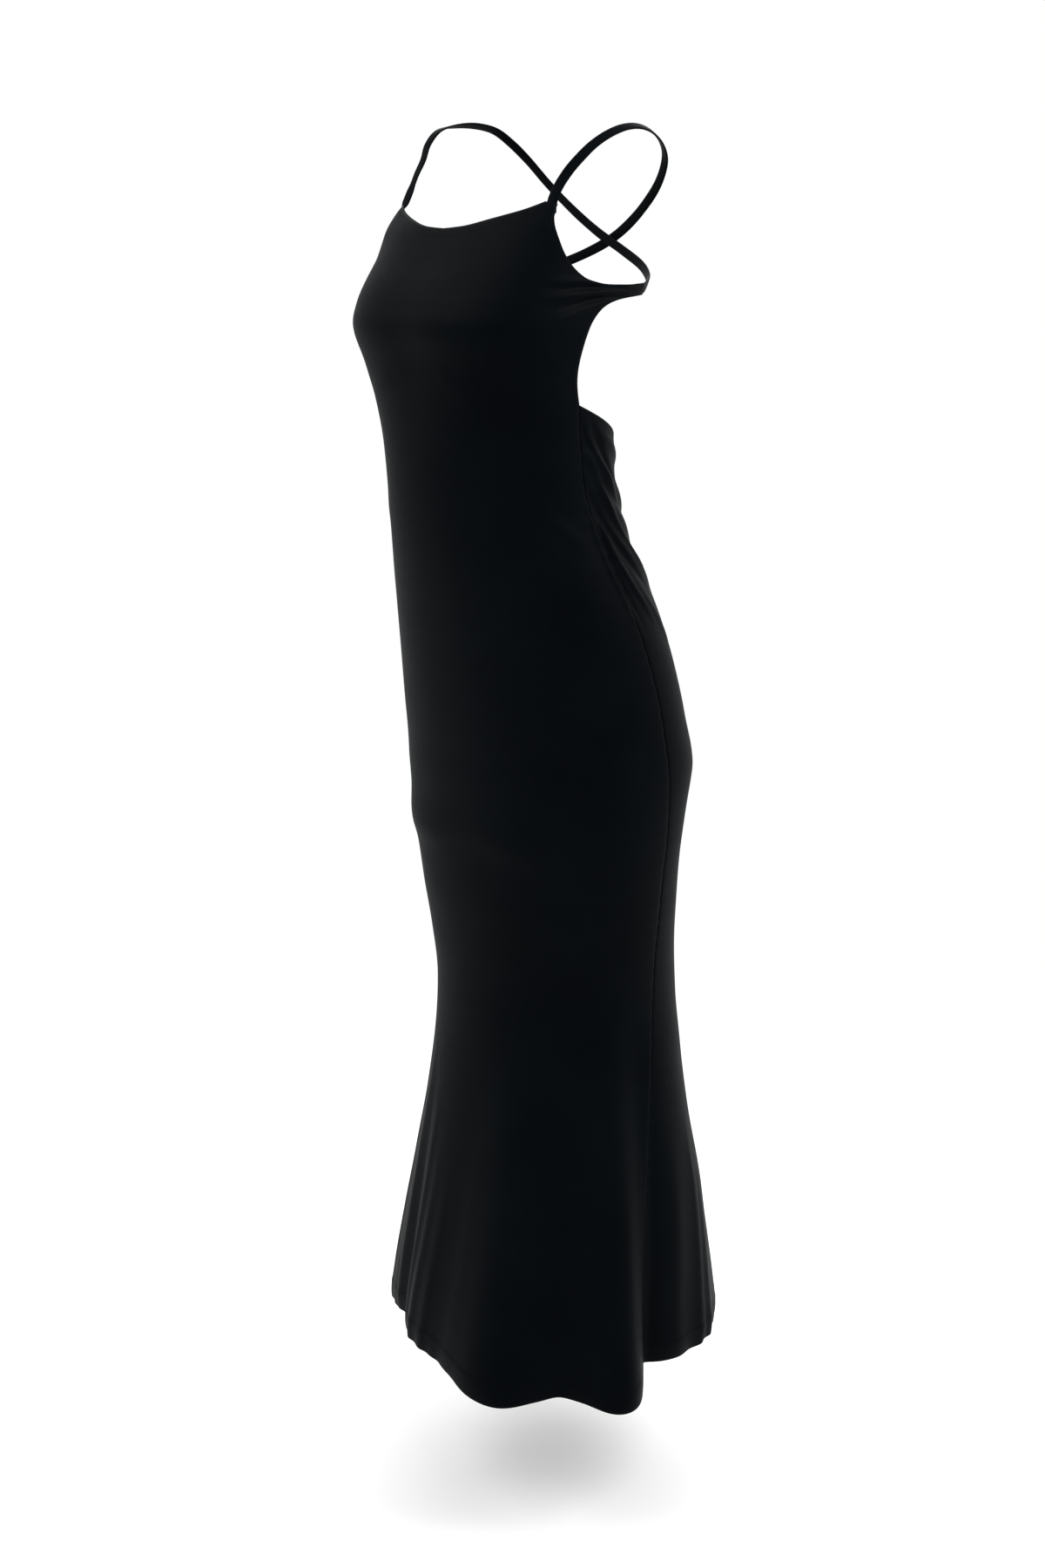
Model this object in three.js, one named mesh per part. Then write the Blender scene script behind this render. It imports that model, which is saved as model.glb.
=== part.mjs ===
// Backless maxi slip dress in stretch jersey, in its worn, hollow form.
// Millimetres, +Z up, front towards -Y, the wearer's left towards +X.
// The origin is midway between the tops of the two shoulder straps.
import * as THREE from 'three';

// Cloth and seams
const CLOTH = 1.4;
const SEAM_GAP = 0.3;
const STRAP_WIDTH = 10;
const STRAP_THICKNESS = 2;

// Main heights
const WAIST = -260;
const HEM = -1248;
const FLARE_TOP = -850;

// Panel grids
const HALF_COLUMNS = 17;
const NECK_COLUMNS = 7;
const BODICE_ROWS = 11;
const BACK_COLUMNS = 32;
const STRAP_STEPS = 44;

const DEGREE = Math.PI / 180;
const MM_PER_DEGREE = 2.3;

// Level sections of the cloth's outer face: where the widest line lies along Y,
// the half width, the depths in front of and behind it, and how square the section is
const SECTIONS = [
  { z: -60, side: -50, half: 132, front: 56, back: 126, square: 2.8 },
  { z: -80, side: -56, half: 136, front: 70, back: 128, square: 2.8 },
  { z: -96, side: -60, half: 139, front: 80, back: 129, square: 2.8 },
  { z: -110, side: -61, half: 142, front: 89, back: 130, square: 2.7 },
  { z: -126, side: -64, half: 144, front: 97, back: 130, square: 2.7 },
  { z: -145, side: -70, half: 145, front: 107, back: 130, square: 2.6 },
  { z: -165, side: -76, half: 146, front: 113, back: 129, square: 2.6 },
  { z: -186, side: -81, half: 146, front: 114, back: 122, square: 2.6 },
  { z: -206, side: -82, half: 143, front: 107, back: 112, square: 2.6 },
  { z: -226, side: -83, half: 139, front: 98, back: 105, square: 2.5 },
  { z: -260, side: -79, half: 131, front: 96, back: 102, square: 2.4 },
  { z: -300, side: -74, half: 128, front: 98, back: 98, square: 2.2 },
  { z: -345, side: -69, half: 128, front: 101, back: 99, square: 2.1 },
  { z: -385, side: -61, half: 133, front: 104, back: 100, square: 2.1 },
  { z: -425, side: -50, half: 143, front: 108, back: 108, square: 2.1 },
  { z: -470, side: -36, half: 154, front: 114, back: 112, square: 2.1 },
  { z: -520, side: -23, half: 162, front: 120, back: 115, square: 2.1 },
  { z: -570, side: -14, half: 167, front: 123, back: 118, square: 2.1 },
  { z: -625, side: -9, half: 169, front: 122, back: 121, square: 2.1 },
  { z: -670, side: -9, half: 166, front: 118, back: 118, square: 2.1 },
  { z: -715, side: -9, half: 161, front: 113, back: 113, square: 2.1 },
  { z: -760, side: -7, half: 154, front: 112, back: 112, square: 2.1 },
  { z: -815, side: -3, half: 146, front: 110, back: 113, square: 2.05 },
  { z: -870, side: 3, half: 142, front: 113, back: 114, square: 2 },
  { z: -930, side: 5, half: 147, front: 117, back: 118, square: 2 },
  { z: -1000, side: 5, half: 157, front: 126, back: 126, square: 2 },
  { z: -1070, side: 5, half: 168, front: 139, back: 139, square: 2 },
  { z: -1140, side: 3, half: 176, front: 152, back: 150, square: 2 },
  { z: -1200, side: 1, half: 180, front: 164, back: 160, square: 2 },
  { z: -1270, side: 0, half: 184, front: 176, back: 168, square: 2 },
];

// Angle of the side seams from centre front, down the skirt
const SEAM = [
  { z: -260, angle: 90 },
  { z: -320, angle: 90 },
  { z: -385, angle: 92.5 },
  { z: -450, angle: 94.5 },
  { z: -600, angle: 95.5 },
  { z: -700, angle: 98 },
  { z: -770, angle: 98 },
  { z: -830, angle: 96.5 },
  { z: -940, angle: 91.5 },
  { z: -1070, angle: 85.5 },
  { z: -1150, angle: 82 },
  { z: -1270, angle: 79 },
];

// Edges of the bodice, from centre front to the wing tip and down the open back
const NECKLINE = [
  { angle: 0, z: -95.5 },
  { angle: 22, z: -93 },
  { angle: 40, z: -87 },
  { angle: 56, z: -79.5 },
  { angle: 66, z: -71.5 },
];
const ARMHOLE = [
  { angle: 70.2, z: -73.5 },
  { angle: 69.2, z: -84 },
  { angle: 70.4, z: -100 },
  { angle: 73.2, z: -118 },
  { angle: 78.5, z: -133 },
  { angle: 87, z: -144 },
  { angle: 98, z: -148.5 },
  { angle: 119, z: -147 },
];
const OPEN_BACK = [
  { angle: 90, z: -260 },
  { angle: 88.4, z: -236 },
  { angle: 88.6, z: -210 },
  { angle: 91, z: -186 },
  { angle: 95.5, z: -169 },
  { angle: 103, z: -161 },
  { angle: 119, z: -157 },
];

// Dip of the back panel's top edge and of the drape lines under it, by the height
// of the line at the side seam: how far it has dropped at centre back
const BACK_DIP = [
  { z: -600, drop: 0 },
  { z: -450, drop: 86 },
  { z: -380, drop: 98 },
  { z: -330, drop: 94 },
  { z: -296, drop: 84 },
  { z: -260, drop: 56 },
];
const DRAPES = [
  { seam: -273, out: 2.2, width: 5 },
  { seam: -304, out: 3.8, width: 7 },
  { seam: -329, out: 3, width: 7.5 },
  { seam: -372, out: 2.8, width: 10 },
];

// Upright flutes of the flared skirt: their angle, how far they stand out and how
// much the hem drops there, how wide they are, and the height where they begin
const FLUTES = [
  { angle: -148, out: 20, drop: 6, width: 12, start: -900 },
  { angle: -118, out: -10, drop: 0, width: 8, start: -950 },
  { angle: -94, out: 26, drop: 8, width: 10, start: -880 },
  { angle: -72, out: -14, drop: 0, width: 6, start: -900 },
  { angle: -54, out: 7, drop: 2, width: 7, start: -1000 },
  { angle: -31, out: -13, drop: -3, width: 9, start: -1000 },
  { angle: 34, out: 42, drop: 11, width: 13, start: -860 },
  { angle: 69, out: 50, drop: 12, width: 8.5, start: -840 },
  { angle: 84, out: -22, drop: -2, width: 5, start: -840 },
  { angle: 97, out: -8, drop: 0, width: 8, start: -950 },
  { angle: 125, out: 5, drop: -3, width: 9, start: -1000 },
  { angle: 157, out: 18, drop: 5, width: 11, start: -920 },
];
const FLUTE_POWER = 1.35;

// Broad soft forms of the worn cloth, by angle and height
const FORMS = [
  { angle: 0, z: -186, out: -3, width: 16, height: 36 },
  { angle: -40, z: -694, out: 5, width: 24, height: 16 },
  { angle: 40, z: -694, out: 4, width: 24, height: 16 },
  { angle: -142, z: -622, out: 5, width: 26, height: 26 },
  { angle: 142, z: -622, out: 5, width: 26, height: 26 },
  { angle: 180, z: -640, out: -5, width: 14, height: 50 },
];

// Rows of both panels below the waist, as heights at the side seam, close together
// where the back is draped
const SKIRT_ROWS = [
  -260, -270, -280, -290, -300, -310, -320, -331, -342, -354, -367, -381, -396, -412, -430,
  -450, -470, -510, -550, -590, -625, -660, -690, -712, -740, -780, -825, -870, -915, -960,
  -1005, -1050, -1095, -1140, -1180, -1216, HEM,
];

// Centre line of a shoulder strap from its seat to the opposite wing tip, for the
// wearer's left, and how much further forward and up the right one lies. The first and
// last stations come from the panel's own edges
const STRAP_PATH = [
  { x: 114, y: -91, z: -60, forward: 2, up: 3 },
  { x: 114.5, y: -82, z: -44, forward: 7, up: 2 },
  { x: 115.5, y: -71, z: -31, forward: 8, up: 4 },
  { x: 116.5, y: -56, z: -19, forward: 14, up: 7 },
  { x: 118, y: -38, z: -9, forward: 16, up: 11 },
  { x: 119, y: -18, z: -2.4, forward: 11, up: 10 },
  { x: 119, y: 2, z: -0.9, forward: 4, up: 9 },
  { x: 118, y: 20, z: -4.5, forward: 0, up: 8 },
  { x: 114, y: 37, z: -14, forward: 0, up: 6 },
  { x: 105, y: 51, z: -28, forward: 0, up: 4 },
  { x: 84, y: 62, z: -51, forward: 0, up: 2 },
  { x: 52, y: 68, z: -76, forward: 0, up: 1 },
  { x: 16, y: 70, z: -97, forward: 0, up: 0 },
  { x: -24, y: 68, z: -115, forward: 0, up: 0 },
  { x: -64, y: 58, z: -130, forward: 0, up: 0 },
  { x: -98, y: 37, z: -142, forward: 0, up: 0 },
  { x: -119, y: 15, z: -149, forward: 0, up: 0 },
];
const CROSSING_LIFT = 4;
const CROSSING_REACH = 30;
const FIGURE_AXIS = { xShare: 0.4, y: -30, z: -115 };

// Value of a column at height z, smoothly between the rows and never past them
function readTable(table, key, z) {
  const rows = table[0].z > table[table.length - 1].z ? table : [...table].reverse();
  if (z >= rows[0].z) return rows[0][key];
  if (z <= rows[rows.length - 1].z) return rows[rows.length - 1][key];
  const i = rows.findIndex((row, k) => rows[k + 1].z <= z);
  const slope = (k) => (rows[k + 1][key] - rows[k][key]) / (rows[k + 1].z - rows[k].z);
  const tangent = (k) => {
    if (k === 0) return slope(0);
    if (k === rows.length - 1) return slope(k - 1);
    const [before, after] = [slope(k - 1), slope(k)];
    return before * after <= 0 ? 0 : (2 * before * after) / (before + after);
  };
  const span = rows[i + 1].z - rows[i].z;
  const t = (z - rows[i].z) / span;
  const [t2, t3] = [t * t, t * t * t];
  return (2 * t3 - 3 * t2 + 1) * rows[i][key] + (t3 - 2 * t2 + t) * span * tangent(i)
    + (3 * t2 - 2 * t3) * rows[i + 1][key] + (t3 - t2) * span * tangent(i + 1);
}

function smoothStep(t) {
  const c = Math.min(Math.max(t, 0), 1);
  return c * c * (3 - 2 * c);
}

function bump(distance, width) {
  return Math.exp(-0.5 * (distance / width) ** 2);
}

// Shortest way round from one angle to another
function turn(angle, from) {
  return ((((angle - from + 180) % 360) + 360) % 360) - 180;
}

// Distance from the section's centre to the plain section, before any fold
function sectionRadius(angle, z) {
  const across = Math.abs(Math.sin(angle * DEGREE)) / readTable(SECTIONS, 'half', z);
  const along = Math.cos(angle * DEGREE);
  const depth = readTable(SECTIONS, along > 0 ? 'front' : 'back', z);
  const square = readTable(SECTIONS, 'square', z);
  return (across ** square + (Math.abs(along) / depth) ** square) ** (-1 / square);
}

// How far a height has dropped towards centre back, as a share of the full dip
function dipShare(angle, z) {
  const seam = readTable(SEAM, 'angle', z);
  const t = Math.min(Math.max((Math.abs(turn(angle, 0)) - seam) / (180 - seam), 0), 1);
  return Math.sin((t * Math.PI) / 2);
}

function drapeRelief(angle, z) {
  let out = 0;
  for (const drape of DRAPES) {
    const share = dipShare(angle, drape.seam);
    const line = drape.seam - readTable(BACK_DIP, 'drop', drape.seam) * share;
    out += drape.out * Math.min(1, 3.5 * share) * bump(z - line, drape.width);
  }
  return out;
}

function fluteRelief(angle, z) {
  let out = 0;
  for (const flute of FLUTES) {
    const growth = Math.max(0, (flute.start - z) / (flute.start - HEM)) ** FLUTE_POWER;
    out += flute.out * growth * bump(turn(angle, flute.angle), flute.width);
  }
  return out;
}

function formRelief(angle, z) {
  let out = 0;
  for (const form of FORMS) {
    out += form.out * bump(turn(angle, form.angle), form.width) * bump(z - form.z, form.height);
  }
  return out;
}

// A point of the outer face
function face(angle, z) {
  const onBack = Math.abs(turn(angle, 0)) > 90;
  const relief = fluteRelief(angle, z) + formRelief(angle, z) + (onBack ? drapeRelief(angle, z) : 0);
  const radius = sectionRadius(angle, z) + relief;
  return new THREE.Vector3(
    radius * Math.sin(angle * DEGREE),
    readTable(SECTIONS, 'side', z) - radius * Math.cos(angle * DEGREE),
    z,
  );
}

function outward(angle, z) {
  const [dAngle, dZ] = [0.4, 0.8];
  const around = face(angle + dAngle, z).sub(face(angle - dAngle, z));
  const up = face(angle, z + dZ).sub(face(angle, z - dZ));
  return around.cross(up).normalize();
}

// The hem's height follows the flutes
function hemDrop(angle) {
  return FLUTES.reduce((sum, f) => sum + f.drop * bump(turn(angle, f.angle), f.width), 0);
}

function skirtHeight(angle, z) {
  return z - hemDrop(angle) * smoothStep((FLARE_TOP - z) / (FLARE_TOP - HEM));
}

// A closed wall from a grid of {outer, inner} points, columns anticlockwise from above
// and rows from top to bottom
function wallGeometry(grid) {
  const rows = grid.length;
  const columns = grid[0].length;
  const positions = [];
  for (const layer of ['outer', 'inner']) {
    for (const row of grid) for (const cell of row) positions.push(...cell[layer].toArray());
  }
  const at = (layer, r, c) => layer * rows * columns + r * columns + c;
  const triangles = [];
  const quad = (a, b, c, d) => triangles.push(a, b, c, a, c, d);
  for (let r = 0; r < rows - 1; r += 1) {
    for (let c = 0; c < columns - 1; c += 1) {
      quad(at(0, r, c), at(0, r + 1, c), at(0, r + 1, c + 1), at(0, r, c + 1));
      quad(at(1, r, c), at(1, r, c + 1), at(1, r + 1, c + 1), at(1, r + 1, c));
    }
    quad(at(0, r + 1, 0), at(0, r, 0), at(1, r, 0), at(1, r + 1, 0));
    quad(at(0, r, columns - 1), at(0, r + 1, columns - 1), at(1, r + 1, columns - 1), at(1, r, columns - 1));
  }
  for (let c = 0; c < columns - 1; c += 1) {
    quad(at(0, 0, c), at(0, 0, c + 1), at(1, 0, c + 1), at(1, 0, c));
    quad(at(0, rows - 1, c + 1), at(0, rows - 1, c), at(1, rows - 1, c), at(1, rows - 1, c + 1));
  }
  const geometry = new THREE.BufferGeometry();
  geometry.setAttribute('position', new THREE.Float32BufferAttribute(positions, 3));
  geometry.setIndex(triangles);
  geometry.computeVertexNormals();
  return geometry;
}

function clothCell(angle, z) {
  const outer = face(angle, z);
  return { outer, inner: outer.clone().addScaledVector(outward(angle, z), -CLOTH) };
}

// An edge as a curve over angle and height, both in millimetres of cloth
function edgeCurve(rows) {
  return new THREE.SplineCurve(rows.map((row) => new THREE.Vector2(row.angle * MM_PER_DEGREE, row.z)));
}

const neckline = edgeCurve(NECKLINE);
const armhole = edgeCurve(ARMHOLE);
const openBack = edgeCurve(OPEN_BACK);

// Top edge of the bodice from centre front to the wing tip, by column
function topEdge(column) {
  if (column <= NECK_COLUMNS) return neckline.getPointAt(column / NECK_COLUMNS);
  return armhole.getPointAt((column - NECK_COLUMNS - 1) / (HALF_COLUMNS - NECK_COLUMNS - 1));
}

// Side edge of the bodice from the waist up to the wing tip, whose own short edge is the last row
function sideEdge(row) {
  if (row === BODICE_ROWS) return armhole.getPointAt(1);
  return openBack.getPointAt(row / (BODICE_ROWS - 1));
}

// A point of the bodice, blended from its four edges
function bodicePoint(column, row) {
  const [s, t] = [column / HALF_COLUMNS, row / BODICE_ROWS];
  const waist = (share) => new THREE.Vector2(share * OPEN_BACK[0].angle * MM_PER_DEGREE, WAIST);
  const centre = (share) => new THREE.Vector2(0, WAIST + share * (NECKLINE[0].z - WAIST));
  const corners = waist(0).multiplyScalar((1 - s) * (1 - t))
    .addScaledVector(waist(1), s * (1 - t))
    .addScaledVector(centre(1), (1 - s) * t)
    .addScaledVector(topEdge(HALF_COLUMNS), s * t);
  const point = waist(s).multiplyScalar(1 - t)
    .addScaledVector(topEdge(column), t)
    .addScaledVector(centre(t), 1 - s)
    .addScaledVector(sideEdge(row), s)
    .sub(corners);
  return { angle: point.x / MM_PER_DEGREE, z: point.y };
}

// Angle that one half of the seam gap takes up at a seam
function seamInset(z) {
  return SEAM_GAP / 2 / (readTable(SECTIONS, 'half', z) * DEGREE);
}

function frontGrid() {
  const columns = Array.from({ length: 2 * HALF_COLUMNS + 1 }, (_, i) => i - HALF_COLUMNS);
  const grid = [];
  for (let row = BODICE_ROWS; row > 0; row -= 1) {
    grid.push(columns.map((column) => {
      const point = bodicePoint(Math.abs(column), row);
      return clothCell(Math.sign(column) * point.angle, point.z);
    }));
  }
  for (const z of SKIRT_ROWS) {
    const reach = readTable(SEAM, 'angle', z) - seamInset(z);
    grid.push(columns.map((column) => {
      const angle = (column / HALF_COLUMNS) * reach;
      return clothCell(angle, skirtHeight(angle, z));
    }));
  }
  return grid;
}

function backGrid() {
  return SKIRT_ROWS.map((seamZ) => {
    const start = readTable(SEAM, 'angle', seamZ) + seamInset(seamZ);
    const row = [];
    for (let column = 0; column <= BACK_COLUMNS; column += 1) {
      const angle = start + (column / BACK_COLUMNS) * (360 - 2 * start);
      const dip = readTable(BACK_DIP, 'drop', seamZ) * dipShare(angle, seamZ);
      row.push(clothCell(angle, skirtHeight(angle, seamZ) - dip));
    }
    return row;
  });
}

// Corners of the front panel's strap seat and wing tip on the wearer's left, moved off by the gap
function panelEdge(grid, cells, direction) {
  const corners = cells.map(([r, c]) => grid[r][c]);
  const shift = direction.clone().multiplyScalar(SEAM_GAP);
  return [
    corners[0].outer, corners[1].outer, corners[1].inner, corners[0].inner,
  ].map((corner) => corner.clone().add(shift));
}

// A flat strap from the seat, over the shoulder and across the back to the other side's wing tip
function strapGeometry(grid, side) {
  const centre = HALF_COLUMNS;
  const seatColumns = [centre + side * NECK_COLUMNS, centre + side * (NECK_COLUMNS + 1)];
  const tipColumn = centre - side * HALF_COLUMNS;
  const seat = panelEdge(grid, seatColumns.map((c) => [0, c]), new THREE.Vector3(0, 0.5, 0.86));
  const tip = panelEdge(grid, [[0, tipColumn], [1, tipColumn]], new THREE.Vector3(side * 0.4, 0.9, 0));
  const middle = (corners) => corners.reduce((sum, c) => sum.add(c), new THREE.Vector3()).divideScalar(4);
  const path = new THREE.CatmullRomCurve3([
    middle(seat),
    ...STRAP_PATH.map((p) => (side > 0
      ? new THREE.Vector3(p.x, p.y, p.z)
      : new THREE.Vector3(-p.x, p.y - p.forward, p.z + p.up))),
    middle(tip),
  ], false, 'centripetal');
  const over = side > 0 ? CROSSING_LIFT : 0;
  const rings = [seat];
  for (let i = 1; i < STRAP_STEPS; i += 1) {
    const point = path.getPointAt(i / STRAP_STEPS);
    const along = path.getTangentAt(i / STRAP_STEPS);
    const normal = new THREE.Vector3(
      point.x * (1 - FIGURE_AXIS.xShare), point.y - FIGURE_AXIS.y, point.z - FIGURE_AXIS.z,
    );
    normal.addScaledVector(along, -normal.dot(along)).normalize();
    const across = along.clone().cross(normal).multiplyScalar(side);
    if (point.y > 0) point.y += over * bump(point.x, CROSSING_REACH);
    rings.push([[-1, 1], [1, 1], [1, -1], [-1, -1]].map(([a, n]) => point.clone()
      .addScaledVector(across, (a * STRAP_WIDTH) / 2)
      .addScaledVector(normal, (n * STRAP_THICKNESS) / 2)));
  }
  rings.push(tip);
  return stripGeometry(rings, side);
}

// A closed strip through rings of four corners
function stripGeometry(rings, side) {
  const positions = rings.flatMap((ring) => ring.flatMap((corner) => corner.toArray()));
  const triangles = [];
  const quad = (a, b, c, d) => {
    if (side > 0) triangles.push(a, b, c, a, c, d);
    else triangles.push(a, c, b, a, d, c);
  };
  for (let r = 0; r < rings.length - 1; r += 1) {
    for (let k = 0; k < 4; k += 1) {
      const next = (k + 1) % 4;
      quad(4 * r + k, 4 * r + next, 4 * (r + 1) + next, 4 * (r + 1) + k);
    }
  }
  const last = 4 * (rings.length - 1);
  quad(3, 2, 1, 0);
  quad(last, last + 1, last + 2, last + 3);
  const geometry = new THREE.BufferGeometry();
  geometry.setAttribute('position', new THREE.Float32BufferAttribute(positions, 3));
  geometry.setIndex(triangles);
  geometry.computeVertexNormals();
  return geometry;
}

function jersey() {
  return new THREE.MeshStandardMaterial({ color: 0x0b0d11, roughness: 0.72, metalness: 0 });
}

function piece(name, geometry) {
  const mesh = new THREE.Mesh(geometry, jersey());
  mesh.name = name;
  return mesh;
}

const dress = new THREE.Group();
const front = frontGrid();
dress.add(piece('front_panel', wallGeometry(front)));
dress.add(piece('back_panel', wallGeometry(backGrid())));
dress.add(piece('strap_left', strapGeometry(front, 1)));
dress.add(piece('strap_right', strapGeometry(front, -1)));

export default dress;
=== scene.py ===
"""Backless maxi slip dress in black stretch jersey, in its worn form.

Sizes in the tables are millimetres and degrees. Angles are taken from centre front
towards the wearer's left. The frame is +Z up with the front towards -Y.
"""

import math

import bmesh
import bpy
import numpy as np
from bpy.props import FloatProperty, FloatVectorProperty, IntProperty, PointerProperty
from mathutils import Matrix, Vector


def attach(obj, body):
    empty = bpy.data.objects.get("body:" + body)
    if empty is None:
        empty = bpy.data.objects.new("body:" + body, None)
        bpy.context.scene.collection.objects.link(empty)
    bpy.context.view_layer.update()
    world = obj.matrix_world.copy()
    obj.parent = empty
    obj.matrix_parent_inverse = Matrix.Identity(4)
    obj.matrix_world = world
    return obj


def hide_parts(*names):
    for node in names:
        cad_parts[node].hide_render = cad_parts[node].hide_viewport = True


bl_info = {
    "name": "Maxi slip dress",
    "version": (1, 0, 0),
    "blender": (4, 5, 0),
    "location": "3D View > Sidebar > Dress",
    "description": "Builds a backless maxi slip dress around its packed solids",
    "category": "Add Mesh",
}

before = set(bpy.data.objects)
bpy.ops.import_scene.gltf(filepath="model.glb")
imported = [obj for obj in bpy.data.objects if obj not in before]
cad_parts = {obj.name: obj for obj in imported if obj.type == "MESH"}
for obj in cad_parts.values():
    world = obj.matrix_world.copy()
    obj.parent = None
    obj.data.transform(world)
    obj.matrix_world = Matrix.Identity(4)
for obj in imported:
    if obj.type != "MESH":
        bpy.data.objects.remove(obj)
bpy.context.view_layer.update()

MM = 0.001
BODY = "root"
SIDES = (("left", 1), ("right", -1))

# Heights that the panels are laid out by, the side seams' gap, and how much cloth one
# degree is taken for where edges and creases are worked out flat
WAIST = -260.0
HEM = -1248.0
FLARE_TOP = -850.0
SEAM_GAP = 0.3
MM_PER_DEGREE = 2.3

# Coarse columns and rows of the panels, each split into the settings' grid steps
HALF_COLUMNS = 17
NECK_COLUMNS = 7
BODICE_ROWS = 11
BODICE_EXTRA_STEPS = 4
SKIRT_ROWS = 59
BACK_COLUMNS = 32
BACK_ROWS = 66

# How strongly rows and columns crowd towards their ends, and the share of the rows
# below the waist over which the front's columns start to
ROW_CROWDING = 0.45
COLUMN_CROWDING = 0.35
CROWDING_START = 0.15

# Height that sections are averaged over, the degrees and millimetres between which the
# cloth's outward line is measured, and how finely edges are followed
BLEND = 9.0
NORMAL_STEP = (0.4, 0.8)
CURVE_STEPS = 40
EDGE_POINTS = 400
EDGE_CHUNK = 60


def table(names, *rows):
    """A table of numbers with named columns, ordered by its first column."""
    values = np.array(sorted(rows), dtype=float)
    return {name: values[:, i] for i, name in enumerate(names.split())}


# The worn dress by height: where its middle lies on Y, its half width, its depth to the
# front and to the back of that middle, and how square its outline is
SECTIONS = table(
    "z middle half front back square",
    (-60, -50, 132, 56, 126, 2.8),
    (-80, -56, 136, 70, 128, 2.8),
    (-96, -60, 139, 80, 129, 2.8),
    (-110, -61, 142, 89, 130, 2.7),
    (-126, -64, 144, 97, 130, 2.7),
    (-145, -70, 145, 107, 130, 2.6),
    (-165, -76, 146, 113, 129, 2.6),
    (-186, -81, 146, 114, 122, 2.6),
    (-206, -82, 143, 107, 112, 2.6),
    (-226, -83, 139, 98, 105, 2.5),
    (-260, -79, 131, 96, 102, 2.4),
    (-300, -74, 128, 98, 98, 2.2),
    (-345, -69, 128, 101, 99, 2.1),
    (-385, -61, 133, 104, 100, 2.1),
    (-425, -50, 143, 108, 108, 2.1),
    (-470, -36, 154, 114, 112, 2.1),
    (-520, -23, 162, 120, 115, 2.1),
    (-570, -14, 167, 123, 118, 2.1),
    (-625, -9, 169, 122, 121, 2.1),
    (-670, -9, 166, 118, 118, 2.1),
    (-715, -9, 161, 113, 113, 2.1),
    (-760, -7, 154, 112, 112, 2.1),
    (-815, -3, 146, 110, 113, 2.05),
    (-870, 3, 142, 113, 114, 2),
    (-930, 5, 147, 117, 118, 2),
    (-1000, 5, 157, 126, 126, 2),
    (-1070, 5, 168, 139, 139, 2),
    (-1140, 3, 176, 152, 150, 2),
    (-1200, 1, 180, 164, 160, 2),
    (-1270, 0, 184, 176, 168, 2),
)

# Where the side seams run
SEAM = table(
    "z angle",
    (-260, 90), (-320, 90), (-385, 92.5), (-450, 94.5), (-600, 95.5), (-700, 98),
    (-770, 98), (-830, 96.5), (-940, 91.5), (-1070, 85.5), (-1150, 82), (-1270, 79),
)

# Edges of the bodice as (angle, z), from centre front round to the wing tip and
# down the open back
NECKLINE = ((0, -95.5), (22, -93), (40, -87), (56, -79.5), (66, -71.5))
ARMHOLE = (
    (70.2, -73.5), (69.2, -84), (70.4, -100), (73.2, -118),
    (78.5, -133), (87, -144), (98, -148.5), (119, -147),
)
OPEN_BACK = (
    (90, -260), (88.4, -236), (88.6, -210), (91, -186),
    (95.5, -169), (103, -161), (119, -157),
)

# How far the back's rows hang down behind, and the folds along them, by their height
# at the side seams. A fold reaches its full size in the first part of its way round
BACK_DIP = table(
    "z drop",
    (-600, 0), (-450, 86), (-380, 98), (-330, 94), (-296, 84), (-260, 56),
)
DRAPES = table(
    "seam out width",
    (-273, 2.2, 5), (-304, 3.8, 7), (-329, 3, 7.5), (-372, 2.8, 10),
)
DRAPE_GROWTH = 3.5

# Flutes of the flare: how far each stands out and drops at the hem, its width in
# degrees and the height that it starts from
FLUTES = table(
    "angle out drop width start",
    (-148, 20, 6, 12, -900),
    (-118, -10, 0, 8, -950),
    (-94, 26, 8, 10, -880),
    (-72, -14, 0, 6, -900),
    (-54, 7, 2, 7, -1000),
    (-31, -13, -3, 9, -1000),
    (34, 42, 11, 13, -860),
    (69, 50, 12, 8.5, -840),
    (84, -22, -2, 5, -840),
    (97, -8, 0, 8, -950),
    (125, 5, -3, 9, -1000),
    (157, 18, 5, 11, -920),
)
FLUTE_POWER = 1.35

# Broad swells and hollows, each round one place
FORMS = table(
    "angle z out width height",
    (0, -186, -3, 16, 36),
    (-40, -694, 5, 24, 16),
    (40, -694, 4, 24, 16),
    (-142, -622, 5, 26, 26),
    (142, -622, 5, 26, 26),
    (180, -640, -5, 14, 50),
)

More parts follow.
